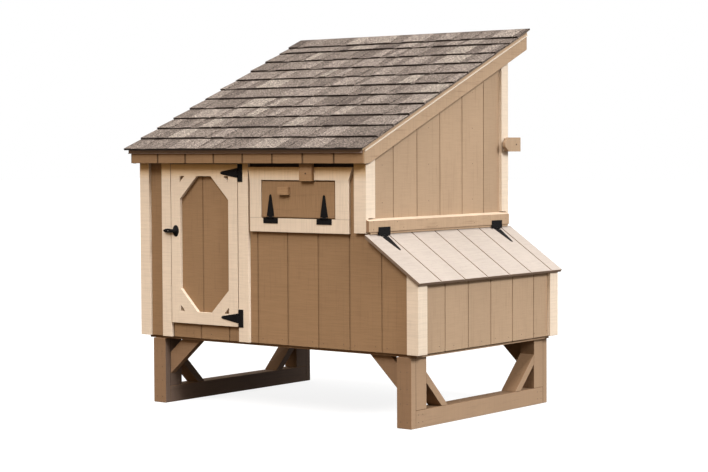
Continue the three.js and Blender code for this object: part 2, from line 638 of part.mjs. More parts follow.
function nestLid() {
  const ends = [LID_TOP_X, LID_OUTER_X];
  const square = SIDING * Math.sin(LID_ANGLE);
  const points = [[ends[0], lidTopZ(ends[0]) - LID_PLUMB],
    [ends[1] - square, lidTopZ(ends[1] - square) - LID_PLUMB],
    [ends[1], lidTopZ(ends[1])], [ends[0], lidTopZ(ends[0])]];
  const deep = GROOVE_DEPTH / Math.cos(LID_ANGLE);
  const run = [ends[0] - 20, ends[1] + 20];
  const strip = [[run[0], lidTopZ(run[0]) - deep], [run[1], lidTopZ(run[1]) - deep],
    [run[1], lidTopZ(run[1]) + 5], [run[0], lidTopZ(run[0]) + 5]];
  const lines = grooves(LID_GROOVE_Y, LID_Y).map((y) => alongY(strip, [y - GROOVE_W / 2, y + GROOVE_W / 2]));
  add('nest_lid', cut(alongY(points, LID_Y), ...lines), trim);
}

// Floor, lip and partitions of the nests, dropped in as one piece.
function nestInsert() {
  const x = [BODY_W - SIDING, NEST_X - SIDING - GAP];
  const y = [SIDING + 2 * GAP, REAR_IN - 2 * GAP];
  const z0 = FLOOR_TOP + GAP;
  const pieces = [
    box(x, y, [z0, z0 + NEST_BOARD]),
    box([x[0], x[0] + TRIM], y, [z0, z0 + NEST_LIP]),
  ];
  const pitch = (y[1] - y[0] - NEST_BOARD) / NESTS;
  for (let i = 0; i <= NESTS; i += 1) {
    const at = y[0] + i * pitch;
    pieces.push(cut(box(x, [at, at + NEST_BOARD], [z0, 800]), aboveNest(4),
      box([0, BODY_W + 1], [0, 1300], [nestTopZ(LID_TOP_X) - 4, 900])));
  }
  add('nest_partitions', join(...pieces), wood);
}

nestLid();
nestInsert();

// The rail that the lid hangs from; its front end laps past the corner board.
function hingeRail() {
  const back = BODY_W + GAP;
  const section = [[back, RAIL_Z[0]], [RAIL_OUT, RAIL_Z[0]], [RAIL_OUT, RAIL_FRONT_Z], [back, RAIL_Z[1]]];
  const behindLap = box([back - 1, BODY_W + TRIM + GAP], [-TRIM - 1, GAP], [0, 800]);
  add('lid_hinge_rail', cut(alongY(section, [-TRIM, BODY_D]), behindLap), siding);
}

hingeRail();
LID_HINGE_Y.forEach((y, i) => {
  const basis = [Z, X.clone().negate(), Y.clone().negate()];
  const foldBack = Math.PI / 2 - LID_ANGLE;
  const plate = { ...SMALL_PLATE, width: 44 };
  const name = `lid_${i === 0 ? 'front' : 'rear'}_hinge`;
  hinge(name, plate, TEE_STRAP, [LID_AXIS_X, y, LID_AXIS_Z], basis, foldBack);
});

// Button on a block at the rear corner that keeps the raised lid up.
const CATCH_X = BODY_W + 2 * TRIM + GAP;
function lidCatch() {
  const points = buttonOutline(CATCH).map(([u, v]) => [CATCH.y - u, CATCH.z + v]).reverse();
  add('lid_catch_button', alongX(points, [CATCH_X, CATCH_X + TRIM]), siding);
  add('lid_catch_block', box([BODY_W + TRIM + GAP, CATCH_X - GAP], CATCH_BLOCK.y, CATCH_BLOCK.z), siding);
}
lidCatch();

// ---- roost --------------------------------------------------------------------------------------
const ROOST = { barX: [950, 1250], tieY: [300, 900], z: 480, tieEnd: 10, lap: 2 };

// Two bars across the house on two ties, let into each other by the lap.
function roost() {
  const y = [SIDING + 2 * GAP, REAR_IN - 2 * GAP];
  const tieX = [ROOST.barX[0] - ROOST.tieEnd, ROOST.barX[1] + STUD + ROOST.tieEnd];
  const tieZ = [ROOST.z - STUD + ROOST.lap, ROOST.z + ROOST.lap];
  const bars = ROOST.barX.map((x) => box([x, x + STUD], y, [ROOST.z, ROOST.z + STUD]));
  const ties = ROOST.tieY.map((at) => box(tieX, [at, at + STUD], tieZ));
  add('roost', join(...bars, ...ties), wood);
}
roost();

// ---- whole --------------------------------------------------------------------------------------
const bounds = new THREE.Box3().setFromObject(coop);
const middle = bounds.getCenter(new THREE.Vector3());
coop.position.set(-middle.x, -middle.y, -bounds.min.z);

export default coop;
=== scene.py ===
"""Looks of the chicken coop: stained rough-sawn siding, cream trims, laid shingles, black tee hinges.

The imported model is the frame.  Everything here is in metres, in the row's own axes: the door side faces
-Y, the nest box is at +X and the ground is z = 0.
"""

import math
import random

import bmesh
import bpy
from mathutils import Matrix, Vector


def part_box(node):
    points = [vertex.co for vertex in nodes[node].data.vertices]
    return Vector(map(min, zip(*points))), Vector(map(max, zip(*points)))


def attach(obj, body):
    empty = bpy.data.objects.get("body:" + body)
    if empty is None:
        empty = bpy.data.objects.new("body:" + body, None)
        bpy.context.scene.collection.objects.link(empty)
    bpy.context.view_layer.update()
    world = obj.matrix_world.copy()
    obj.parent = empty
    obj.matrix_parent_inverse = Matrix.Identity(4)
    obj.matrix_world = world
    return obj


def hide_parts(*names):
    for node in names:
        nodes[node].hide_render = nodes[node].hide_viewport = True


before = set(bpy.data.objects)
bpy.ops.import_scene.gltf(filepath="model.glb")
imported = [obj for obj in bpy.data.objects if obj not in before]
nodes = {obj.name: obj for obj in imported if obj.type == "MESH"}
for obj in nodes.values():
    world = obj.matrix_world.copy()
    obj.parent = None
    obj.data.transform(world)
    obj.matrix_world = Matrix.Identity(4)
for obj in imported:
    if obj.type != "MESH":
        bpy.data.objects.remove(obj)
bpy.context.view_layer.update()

# ---- driving values --------------------------------------------------------------------------------
MM = 0.001
CAMERA_AT = (6.3193, -8.0051, 1.3765)
CAMERA_AZIMUTH = math.radians(38.203)
CAMERA_PITCH = math.radians(2.644)
CAMERA_ROLL = math.radians(-0.284)
SENSOR = 36.0
IMAGE_WIDTH = 708                       # of the render, in its own pixels
FOCAL_LENGTH = 1867.77                  # in the same unit
LENS = FOCAL_LENGTH * SENSOR / IMAGE_WIDTH

ROOF_SLOPE = 0.431
ROOF_TILT = math.atan(ROOF_SLOPE)
PITCH = 203.2                           # of the siding's grooves, in millimetres
GROOVE_PITCH = PITCH * MM

TAN_FRONT = (0.305, 0.187, 0.098)
# painted light: a lighter copy of the front tan for faces lit from the nest box's side
TAN_SIDE_LIT = (0.405, 0.289, 0.191)
TAN_DARK = (0.170, 0.098, 0.052)
CREAM = (0.72, 0.605, 0.480)
CREAM_SIDE_SHADE = (0.96, 0.97, 0.985)     # painted shade: the cream a little darker and cooler on faces turned to the nest box's side
# painted light: lumber faces turned to the nest box's side lighter and paler, as lit by the side lamp
LUMBER_SIDE_LIGHT = (1.34, 1.48, 1.66)
LEFT_INNER_SHADE = (0.52, 0.58, 0.78)         # painted shade on the inner faces of the left frame, under the coop
LID_EDGE_SHADE = (0.45, 0.36, 0.29)           # painted shade: the lid's edges and underside darker than its top
# painted shade: warmer and darker under the eave's shadow
EAVE_SHADE_TINT = (1.0, 0.79, 0.46)
LIP_CREAM = (0.70, 0.61, 0.51)
# the lid's tan paint, made paler with painted sheen from the sky along its slope
LID_TAN_SHEEN = (0.43, 0.378, 0.337)
LUMBER = (0.252, 0.155, 0.088)
PINE = (0.56, 0.40, 0.23)
SKY_FRONT = (0.49, 0.255, 0.03)
SKY_SIDE = (1.0, 0.97, 0.93)
SKY_REAR = (0.95, 0.95, 0.95)
FLOOR_GLOW = 0.86
GROUND_BOUNCE = (0.085, 0.07, 0.058)
DRIP_BROWN = (0.32, 0.235, 0.20)
# painted highlight on the lid rail's top, and painted shade on its front end
RAIL_TOP_LIGHT = (1.75, 1.95, 2.25)
RAIL_END_SHADE = (0.72, 0.62, 0.55)


# ---- shader helpers --------------------------------------------------------------------------------
def new_material(name, roughness, metallic=0.0, specular=0.3):
    material = bpy.data.materials.new(name)
    material.use_nodes = True
    tree = material.node_tree
    shader = tree.nodes["Principled BSDF"]
    shader.inputs["Roughness"].default_value = roughness
    shader.inputs["Metallic"].default_value = metallic
    shader.inputs["Specular IOR Level"].default_value = specular
    return material, tree, shader


def mapped(tree, scale, turn=(0, 0, 0), offset=None):
    """Object coordinates, turned and stretched; offset is an optional socket added to the place."""
    coords = tree.nodes.new("ShaderNodeTexCoord")
    mapping = tree.nodes.new("ShaderNodeMapping")
    mapping.inputs["Scale"].default_value = scale
    mapping.inputs["Rotation"].default_value = turn
    tree.links.new(coords.outputs["Object"], mapping.inputs["Vector"])
    if offset is None:
        return mapping.outputs["Vector"]
    shifted = tree.nodes.new("ShaderNodeVectorMath")
    shifted.operation = "ADD"
    tree.links.new(mapping.outputs["Vector"], shifted.inputs[0])
    tree.links.new(offset, shifted.inputs[1])
    return shifted.outputs["Vector"]


def noise(tree, vector, scale=1.0, detail=4.0, rough=0.55, distortion=0.0):
    node = tree.nodes.new("ShaderNodeTexNoise")
    node.inputs["Scale"].default_value = scale
    node.inputs["Detail"].default_value = detail
    node.inputs["Roughness"].default_value = rough
    node.inputs["Distortion"].default_value = distortion
    tree.links.new(vector, node.inputs["Vector"])
    return node.outputs["Fac"]


def ramp(tree, value, stops):
    """stops is a list of (position, colour or grey)."""
    node = tree.nodes.new("ShaderNodeValToRGB")
    elements = node.color_ramp.elements
    while len(elements) < len(stops):
        elements.new(0.5)
    for element, (position, colour) in zip(elements, stops):
        element.position = position
        colour = (colour,) * 3 if isinstance(colour, (int, float)) else colour
        element.color = (*colour, 1.0)
    tree.links.new(value, node.inputs["Fac"])
    return node.outputs["Color"]


def mix(tree, kind, amount, a, b):
    """Blends two colours; amount, a and b are sockets or constants."""
    node = tree.nodes.new("ShaderNodeMix")
    node.data_type = "RGBA"
    node.blend_type = kind
    for value, socket in ((amount, node.inputs[0]), (a, node.inputs[6]), (b, node.inputs[7])):
        if isinstance(value, bpy.types.NodeSocket):
            tree.links.new(value, socket)
        elif isinstance(value, tuple):
            socket.default_value = (*value, 1.0)
        else:
            socket.default_value = value
    return node.outputs[2]


def math_node(tree, operation, a, b):
    node = tree.nodes.new("ShaderNodeMath")
    node.operation = operation
    for value, socket in ((a, node.inputs[0]), (b, node.inputs[1])):
        if isinstance(value, bpy.types.NodeSocket):
            tree.links.new(value, socket)
        else:
            socket.default_value = value
    return node.outputs[0]


def bump(tree, shader, height, strength, distance):
    node = tree.nodes.new("ShaderNodeBump")
    node.inputs["Strength"].default_value = strength
    node.inputs["Distance"].default_value = distance
    tree.links.new(height, node.inputs["Height"])
    tree.links.new(node.outputs["Normal"], shader.inputs["Normal"])


def repaint(material, amount, factor):
    """Multiplies a material's colour by factor where amount is 1."""
    tree = material.node_tree
    shader = tree.nodes["Principled BSDF"]
    old = shader.inputs["Base Color"].links[0].from_socket
    tree.links.new(mix(tree, "MULTIPLY", amount, old, factor), shader.inputs["Base Color"])


def paint_light_by_facing(material, direction, factor, away=False):
    """Painted light and shade: another tone on the faces turned the given way, or on all but those."""
    tree = material.node_tree
    coords = tree.nodes.new("ShaderNodeTexCoord")
    along = tree.nodes.new("ShaderNodeVectorMath")
    along.operation = "DOT_PRODUCT"
    along.inputs[1].default_value = direction
    tree.links.new(coords.outputs["Normal"], along.inputs[0])
    stops = [(0.80, 1.0), (0.95, 0.0)] if away else [(0.80, 0.0), (0.95, 1.0)]
    repaint(material, ramp(tree, along.outputs["Value"], stops), factor)


def shade_under_eave(material, behind, start, stop, factor):
    """Painted shade: front faces before the plane behind grow warmer and darker from the height start up to
    just short of stop, as in the eave's shadow.
    """
    tree = material.node_tree
    coords = tree.nodes.new("ShaderNodeTexCoord")
    place = tree.nodes.new("ShaderNodeSeparateXYZ")
    tree.links.new(coords.outputs["Object"], place.inputs[0])
    facing = tree.nodes.new("ShaderNodeSeparateXYZ")
    tree.links.new(coords.outputs["Normal"], facing.inputs[0])
    before = math_node(tree, "LESS_THAN", place.outputs[1], behind)
    front = math_node(tree, "MULTIPLY", before, math_node(tree, "LESS_THAN", facing.outputs[1], -0.8))
    rise = math_node(tree, "DIVIDE", math_node(tree, "SUBTRACT", place.outputs[2], start), stop - start)
    band = ramp(tree, rise, [(0.0, 0.0), (0.53, 1.0), (0.70, 1.0), (0.77, 0.0)])
    repaint(material, math_node(tree, "MULTIPLY", band, front), factor)


def seam(material, axis, place, half_width=1.3 * MM, shade=0.30):
    """A dark joint line where two boards of one solid meet."""
    tree = material.node_tree
    coords = tree.nodes.new("ShaderNodeTexCoord")
    split = tree.nodes.new("ShaderNodeSeparateXYZ")
    tree.links.new(coords.outputs["Object"], split.inputs[0])
    apart = math_node(tree, "ABSOLUTE", math_node(tree, "SUBTRACT", split.outputs[axis], place), 0.0)
    reach = math_node(tree, "DIVIDE", apart, half_width * 3)
    repaint(material, ramp(tree, reach, [(0.30, 1.0), (0.42, 0.0)]), (shade, shade * 0.9, shade * 0.8))


# ---- wood materials --------------------------------------------------------------------------------
GRAIN_SCALES = {"x": (5, 110, 110), "y": (110, 5, 110), "z": (110, 110, 5)}
SAW_SCALES = {"x": (210, 8, 8), "y": (8, 210, 8), "z": (8, 8, 210)}


def board_paint(name, colour, grain, contrast=0.12, saw=0.5, turn=(0, 0, 0), roughness=0.82, dark=None):
    """Painted or stained rough-sawn wood: long grain streaks, saw marks across them, soft blotches."""
    material, tree, shader = new_material(name, roughness, specular=0.25)
    info = tree.nodes.new("ShaderNodeObjectInfo")
    shift = tree.nodes.new("ShaderNodeVectorMath")
    shift.operation = "SCALE"
    shift.inputs["Scale"].default_value = 7.0
    tree.links.new(info.outputs["Random"], shift.inputs[0])
    offset = shift.outputs["Vector"]
    streaks = noise(tree, mapped(tree, GRAIN_SCALES[grain], turn, offset), 1.0, 6.0, 0.62, 0.4)
    marks = noise(tree, mapped(tree, SAW_SCALES[grain], turn, offset), 1.0, 3.0, 0.6)
    blotches = noise(tree, mapped(tree, (3.2, 3.2, 1.6), turn, offset), 1.0, 4.0, 0.6)
    shade = dark or tuple(c * 0.62 for c in colour)
    light = tuple(min(1.0, c * 1.18) for c in colour)
    base = ramp(tree, streaks, [(0.28, shade), (0.47, colour), (0.62, colour), (0.8, light)])
    body = mix(tree, "MIX", 1.0 - min(1.0, contrast * 5), base, colour)
    marked = mix(tree, "MULTIPLY", min(1.0, saw), body, ramp(tree, marks, [(0.36, 0.80), (0.58, 1.0)]))
    final = mix(tree, "MULTIPLY", 0.35, marked, ramp(tree, blotches, [(0.3, 0.78), (0.7, 1.0)]))
    tree.links.new(final, shader.inputs["Base Color"])
    relief = math_node(tree, "ADD", math_node(tree, "MULTIPLY", streaks, 0.7),
                       math_node(tree, "MULTIPLY", marks, saw))
    bump(tree, shader, relief, 0.45, 0.0012)
    rough = ramp(tree, streaks, [(0.3, roughness - 0.1), (0.7, min(1.0, roughness + 0.08))])
    tree.links.new(rough, shader.inputs["Roughness"])
    return material


def siding_paint(name, colour, along, first, dark, groove=0.90, saw=0.5):
    """Stained plywood: each strip between grooves has its own tone, and the grooves are painted darker, as
    painted shade.
    """
    material = board_paint(name, colour, "z", 0.06, saw, dark=dark)
    tree = material.node_tree
    shader = tree.nodes["Principled BSDF"]
    coords = tree.nodes.new("ShaderNodeTexCoord")
    split = tree.nodes.new("ShaderNodeSeparateXYZ")
    tree.links.new(coords.outputs["Object"], split.inputs[0])
    place = math_node(tree, "DIVIDE", math_node(tree, "SUBTRACT", split.outputs[along], first), GROOVE_PITCH)
    strip = math_node(tree, "FLOOR", place, 0.0)
    tone = tree.nodes.new("ShaderNodeTexWhiteNoise")
    tone.noise_dimensions = "1D"
    tree.links.new(strip, tone.inputs["W"])
    within = math_node(tree, "SUBTRACT", place, strip)
    folded = math_node(tree, "PINGPONG", within, 0.5)
    old = shader.inputs["Base Color"].links[0].from_socket
    toned = mix(tree, "MULTIPLY", 0.5, old, ramp(tree, tone.outputs["Value"], [(0.0, 0.86), (1.0, 1.0)]))
    # painted shade in the grooves
    lines = ramp(tree, folded, [(0.0, groove), (0.022, groove), (0.032, 1.0)])
    grooved = mix(tree, "MULTIPLY", 1.0, toned, lines)
    tree.links.new(grooved, shader.inputs["Base Color"])
    return material


def iron_paint():
    material, tree, shader = new_material("black_iron", 0.7, 0.0, 0.15)
    grain = noise(tree, mapped(tree, (900, 900, 900)), 1.0, 3.0, 0.6)
    wear = noise(tree, mapped(tree, (60, 60, 60)), 1.0, 5.0, 0.7)
    colour = ramp(tree, wear, [(0.3, (0.0025, 0.0025, 0.003)), (0.7, (0.005, 0.005, 0.006))])
    tree.links.new(colour, shader.inputs["Base Color"])
    tree.links.new(ramp(tree, wear, [(0.3, 0.62), (0.7, 0.76)]), shader.inputs["Roughness"])
    bump(tree, shader, grain, 0.2, 0.0003)
    return material


def spotted_metal(name, low, high, metallic, roughness):
    """Bare or weathered steel whose tone wanders between two colours."""
    material, tree, shader = new_material(name, roughness, metallic, 0.5)
    spots = noise(tree, mapped(tree, (300, 300, 300)), 1.0, 3.0, 0.6)
    colour = ramp(tree, spots, [(0.3, low), (0.7, high)])
    tree.links.new(colour, shader.inputs["Base Color"])
    return material


def shingle_material():
    """Mineral granules over the tone that each tab carries; each course darkens under the next, with printed
    dark granules and painted shade.
    """
    material, tree, shader = new_material("shingle_granules", 0.92, specular=0.15)
    tab = tree.nodes.new("ShaderNodeAttribute")
    tab.attribute_name = "tab_tone"
    fine = noise(tree, mapped(tree, (260, 260, 260)), 1.0, 2.0, 0.7)
    coarse = noise(tree, mapped(tree, (105, 105, 105)), 1.0, 3.0, 0.75)
    patches = noise(tree, mapped(tree, (24, 24, 24)), 1.0, 4.0, 0.65)
    tone = ramp(tree, tab.outputs["Fac"], [
        (0.0, (0.090, 0.072, 0.063)), (0.3, (0.146, 0.121, 0.105)), (0.6, (0.222, 0.188, 0.166)),
        (0.85, (0.285, 0.256, 0.216)), (1.0, (0.33, 0.305, 0.252))])
    patched = mix(tree, "MULTIPLY", 0.6, tone, ramp(tree, patches, [(0.3, 0.66), (0.62, 1.0)]))
    specks = ramp(tree, coarse, [(0.36, 0.22), (0.5, 0.95), (0.64, 2.2)])
    speckled = mix(tree, "MULTIPLY", 0.85, patched, specks)
    grit = ramp(tree, fine, [(0.36, 0.30), (0.5, 1.0), (0.64, 1.9)])
    gritty = mix(tree, "MULTIPLY", 0.9, speckled, grit)
    tree.links.new(gritty, shader.inputs["Base Color"])
    bump(tree, shader, coarse, 0.7, 0.0022)
    return material


def floor_material():
    """Pale floor to look at, which throws back only the warm light of plain ground."""
    material, tree, shader = new_material("studio_floor", 0.9, specular=0.0)
    tone = noise(tree, mapped(tree, (2, 2, 2)), 1.0, 2.0, 0.5)
    pale = ramp(tree, tone, [(0.0, 0.20), (1.0, 0.22)])
    seen = tree.nodes.new("ShaderNodeLightPath").outputs["Is Camera Ray"]
    tree.links.new(mix(tree, "MIX", seen, GROUND_BOUNCE, pale), shader.inputs["Base Color"])
    shader.inputs["Emission Color"].default_value = (1.0, 1.0, 1.0, 1.0)
    tree.links.new(math_node(tree, "MULTIPLY", seen, FLOOR_GLOW), shader.inputs["Emission Strength"])
    return material


# ---- mesh helpers ----------------------------------------------------------------------------------
def link(name, mesh, material):
    mesh.materials.append(material)
    piece = bpy.data.objects.new(name, mesh)
    bpy.context.scene.collection.objects.link(piece)
    return piece


def finish_mesh(name, bm, material, smooth=False):
    mesh = bpy.data.meshes.new(name)
    bmesh.ops.recalc_face_normals(bm, faces=bm.faces)
    bm.to_mesh(mesh)
    bm.free()
    for face in mesh.polygons:
        face.use_smooth = smooth
    return link(name, mesh, material)


def soften(obj, width):
    """Eased edges on a carried-over board."""
    weld = obj.modifiers.new("weld", "WELD")
    weld.merge_threshold = 1e-5
    bevel = obj.modifiers.new("bevel", "BEVEL")
    bevel.width = width
    bevel.segments = 2
    bevel.limit_method = "ANGLE"
    bevel.angle_limit = math.radians(35)
    bevel.harden_normals = True


# ---- camera, floor, lights -------------------------------------------------------------------------
def make_camera():
    data = bpy.data.cameras.new("camera")
    data.sensor_width = SENSOR
    data.lens = LENS
    data.clip_start = 0.1
    data.clip_end = 200.0
    camera = bpy.data.objects.new("camera", data)
    a, p, r = CAMERA_AZIMUTH, CAMERA_PITCH, CAMERA_ROLL
    ahead = Vector((-math.sin(a) * math.cos(p), math.cos(a) * math.cos(p), -math.sin(p)))
    right = Vector((math.cos(a), math.sin(a), 0.0))
    up = right.cross(ahead)
    right_rolled = right * math.cos(r) + up * math.sin(r)
    up_rolled = up * math.cos(r) - right * math.sin(r)
    camera.matrix_world = Matrix((
        (right_rolled.x, up_rolled.x, -ahead.x, CAMERA_AT[0]),
        (right_rolled.y, up_rolled.y, -ahead.y, CAMERA_AT[1]),
        (right_rolled.z, up_rolled.z, -ahead.z, CAMERA_AT[2]),
        (0, 0, 0, 1)))
    bpy.context.scene.collection.objects.link(camera)
    bpy.context.scene.camera = camera


def make_floor():
    bm = bmesh.new()
    bmesh.ops.create_grid(bm, x_segments=1, y_segments=1, size=60.0)
    finish_mesh("studio_floor", bm, floor_material())


def sun(name, towards, strength, softness, colour):
    """A lamp far away in the given direction."""
    data = bpy.data.lights.new(name, "SUN")
    data.energy = strength
    data.angle = math.radians(softness)
    data.color = colour
    lamp = bpy.data.objects.new(name, data)
    lamp.rotation_mode = "QUATERNION"
    lamp.rotation_quaternion = (-Vector(towards)).to_track_quat("-Z", "Y")
    bpy.context.scene.collection.objects.link(lamp)


def make_world():
    """White studio behind the coop; the light itself is warm and dim from the front, brighter behind."""
    world = bpy.data.worlds.new("studio")
    world.use_nodes = True
    tree = world.node_tree
    background = tree.nodes["Background"]
    coords = tree.nodes.new("ShaderNodeTexCoord")
    split = tree.nodes.new("ShaderNodeSeparateXYZ")
    tree.links.new(coords.outputs["Generated"], split.inputs[0])
    depth = math_node(tree, "ADD", math_node(tree, "MULTIPLY", split.outputs[1], 0.5), 0.5)
    sky = ramp(tree, depth, [(0.0, SKY_FRONT), (0.5, SKY_SIDE), (1.0, SKY_REAR)])
    seen = tree.nodes.new("ShaderNodeLightPath").outputs["Is Camera Ray"]
    tree.links.new(mix(tree, "MIX", seen, sky, (1.0, 1.0, 1.0)), background.inputs["Color"])
    bpy.context.scene.world = world


def make_lights():
    make_world()
    sun("key", (0.04, -0.70, 0.74), 2.6, 28, (1.0, 0.99, 1.0))
    sun("side", (0.84, -0.13, 0.54), 3.1, 14, (1.0, 0.985, 0.97))


make_camera()
make_floor()
make_lights()
bpy.context.scene.view_settings.view_transform = "Standard"

# ---- materials on the CAD nodes --------------------------------------------------------------------
WALL = Vector(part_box("front_wall")[0])      # lower front left corner of the siding


def at(x, y, z):
    """A place given in millimetres from the lower front left corner of the siding."""
    return WALL + Vector((x, y, z)) * MM


STUD = 38
HOUSE_WIDTH = 1529
HOUSE_DEPTH = 1238
FIRST_GROOVE = 413                      # on the front wall
STUD_Y = (140, 540, 940)                # nail lines up the side walls
RAIL_FACE = HOUSE_WIDTH + STUD          # outer face of the lid's rail and of the right rake
NEST_FACE = 1849                        # outer face of the nest wall
SKID_FACE = 1810                        # outer side of the right skid
LEG_X = (99.5, 1765.5)                  # middles of the leg boards
EAVE_Z = 1033                           # underside of the roof deck over the front siding
LEAF_FACE = -21.5                       # outer face of the hinge leaves on the trims
DOOR_PIN_X = 695.5
VENT_PIN_Z = 659.5
LATCH_X, LATCH_Z = 248, 575             # middle of the spindle
VENT_BUTTON_SCREW = (1174, -38.3, 888)
LID_CATCH_SCREW = (1586.3, 1281, 1032)
VENT_SILL_TOP = 657
SHINGLE_FRONT = -98                     # lower edge of the shingles
DECK = 16.3                             # the roof deck and the gap over it
EAVE_SHADE_HEIGHTS = (850, 1000)                    # heights of the painted warm shade band under the eave
FRONT_GROOVE_X = at(FIRST_GROOVE, 0, 0).x
SIDE_GROOVE_Y = at(0, 232, 0).y
FASCIA_GROOVE_X = at(366, 0, 0).x

paint_front = siding_paint("tan_siding_front", TAN_FRONT, 0, FRONT_GROOVE_X, TAN_DARK)
# painted light: the side walls take the lighter side tan
paint_side = siding_paint("tan_siding_side", TAN_SIDE_LIT, 1, SIDE_GROOVE_Y, TAN_DARK, saw=0.35)
paint_door = siding_paint("tan_siding_door", TAN_FRONT, 0, at(431, 0, 0).x, TAN_DARK)
tan_fascia = tuple(c * 0.98 for c in TAN_FRONT)
# the fascia's grooves take much darker painted shade
paint_fascia = siding_paint("tan_fascia", tan_fascia, 0, FASCIA_GROOVE_X, TAN_DARK, 0.45)
tan_x = board_paint("tan_board", TAN_FRONT, "x", 0.08, 0.75, dark=TAN_DARK)
# painted light: the turn button and pull a lighter tan than the flap, lifting them out of the eave's shade
tan_lit_upright = board_paint("tan_upright_lit", tuple(c * 1.15 for c in TAN_FRONT), "z", 0.08, 0.75, dark=TAN_DARK)
tan_y = board_paint("tan_along", TAN_SIDE_LIT, "y", 0.10, 0.55, dark=TAN_DARK)
rail_paint = board_paint("tan_rail", TAN_SIDE_LIT, "y", 0.10, 0.55, dark=TAN_DARK)
tan_slope = board_paint("tan_rake", TAN_SIDE_LIT, "y", 0.10, 0.55, (-ROOF_TILT, 0, 0), dark=TAN_DARK)
cream_z = board_paint("cream_upright", CREAM, "z", 0.05, 0.45, roughness=0.7)
cream_x = board_paint("cream_rail", CREAM, "x", 0.05, 0.45, roughness=0.7)
lid_tan = board_paint("tan_lid", LID_TAN_SHEEN, "x", 0.08, 0.5, (0, 0.6, 0), roughness=0.6)
lumber_z = board_paint("lumber_upright", LUMBER, "z", 0.10, 0.25)
lumber_x = board_paint("lumber_across", LUMBER, "x", 0.10, 0.25)
lumber_y = board_paint("lumber_along", LUMBER, "y", 0.10, 0.25)
left_z = board_paint("left_upright", LUMBER, "z", 0.10, 0.25)
left_y = board_paint("left_along", LUMBER, "y", 0.10, 0.25)
pine_x = board_paint("bare_pine_across", PINE, "x", 0.2, 0.3)
pine_y = board_paint("bare_pine_along", PINE, "y", 0.2, 0.3)
iron = iron_paint()
steel = spotted_metal("nail_steel", (0.055, 0.034, 0.022), (0.13, 0.085, 0.055), 0.3, 0.6)
zinc = spotted_metal("galvanised_wire", (0.30, 0.31, 0.32), (0.52, 0.53, 0.54), 0.9, 0.4)
bright = spotted_metal("bright_steel", (0.60, 0.58, 0.55), (0.85, 0.84, 0.82), 0.6, 0.3)
granules = shingle_material()
asphalt = board_paint("asphalt_edge", (0.030, 0.024, 0.021), "x", 0.1, 0.3, roughness=0.95)
drip_brown = board_paint("drip_edge_brown", DRIP_BROWN, "x", 0.05, 0.1, roughness=0.5)
lip_cream = board_paint("drip_lip_cream", LIP_CREAM, "y", 0.03, 0.1, roughness=0.5)
# painted shade: the near-black of the sheet under the eave
shade_sheet_black = spotted_metal("eave_shade_black", (0.018, 0.011, 0.007), (0.036, 0.023, 0.015), 0.0, 0.8)
drip_tan = board_paint("drip_edge_tan", TAN_SIDE_LIT, "y", 0.05, 0.1, roughness=0.5)

for cream in (cream_x, cream_z):
    # painted shade on the cream's faces turned to the nest box's side
    paint_light_by_facing(cream, (1, 0, 0), CREAM_SIDE_SHADE)
    # painted shade: the cream warmer and darker under the eave
    shade_under_eave(cream, at(0, 5, 0).y, at(0, 0, EAVE_SHADE_HEIGHTS[0]).z, at(0, 0, EAVE_SHADE_HEIGHTS[1]).z, EAVE_SHADE_TINT)
for lumber in (lumber_x, lumber_y, lumber_z):
    # painted light on the base's faces turned to the nest box's side
    paint_light_by_facing(lumber, (1, 0, 0), LUMBER_SIDE_LIGHT)
# painted highlight on the rail's top and painted shade on its front end
paint_light_by_facing(rail_paint, (0.26, 0, 0.965), RAIL_TOP_LIGHT)
paint_light_by_facing(rail_paint, (0, -1, 0), RAIL_END_SHADE)
# painted shade on every face of the lid but its top
paint_light_by_facing(lid_tan, (0.563, 0.0, 0.826), LID_EDGE_SHADE, away=True)
for inner in (left_y, left_z):
    # painted shade on the left frame's faces turned in under the coop
    paint_light_by_facing(inner, (1, 0, 0), LEFT_INNER_SHADE)
for upright in (lumber_z, left_z):
    seam(upright, 1, at(0, STUD, 0).y)
    seam(upright, 1, at(0, HOUSE_DEPTH - STUD, 0).y)
seam(cream_x, 2, at(0, 0, VENT_SILL_TOP).z, 0.8 * MM, 0.45)

FINISH = {
    "front_wall": paint_front, "rear_wall": paint_front, "door_panel": paint_door,
    "left_wall": paint_side, "right_wall": paint_side, "nest_wall": paint_side,
    "vent_flap": tan_x, "vent_flap_pull": tan_lit_upright, "vent_turn_button": tan_lit_upright,
    "front_fascia": paint_fascia, "left_rake": tan_slope, "right_rake": tan_slope,
    "lid_hinge_rail": rail_paint, "lid_catch_button": tan_y, "lid_catch_block": tan_y,
    "nest_lid": lid_tan, "vent_frame": cream_x,
    "floor_frame": lumber_x, "roof_frame": lumber_x, "floor_panel": pine_x, "nest_partitions": pine_x,
    "roost": pine_y, "roof_deck": pine_x, "left_skid": left_y, "right_skid": lumber_y,
    "roof_shingles": granules,
}


def finish_of(name):
    if name in FINISH:
        return FINISH[name]
    if "hinge" in name or name == "door_latch_lever":
        return iron
    if "side_brace" in name:
        return left_y if name.startswith("left") else lumber_y
    if "knee_brace" in name:
        return lumber_x
    if "leg" in name:
        return left_z if name.startswith("left") else lumber_z
    return cream_z


def edge_of(finish):
    """How far the edges are eased, in millimetres."""
    if finish is iron:
        return 0.6
    return 2.6 if finish in (lumber_x, lumber_y, lumber_z, left_y, left_z) else 1.5


for name, obj in nodes.items():
    obj.data.materials.clear()
    obj.data.materials.append(finish_of(name))
    if name != "roof_shingles":
        soften(obj, edge_of(finish_of(name)) * MM)


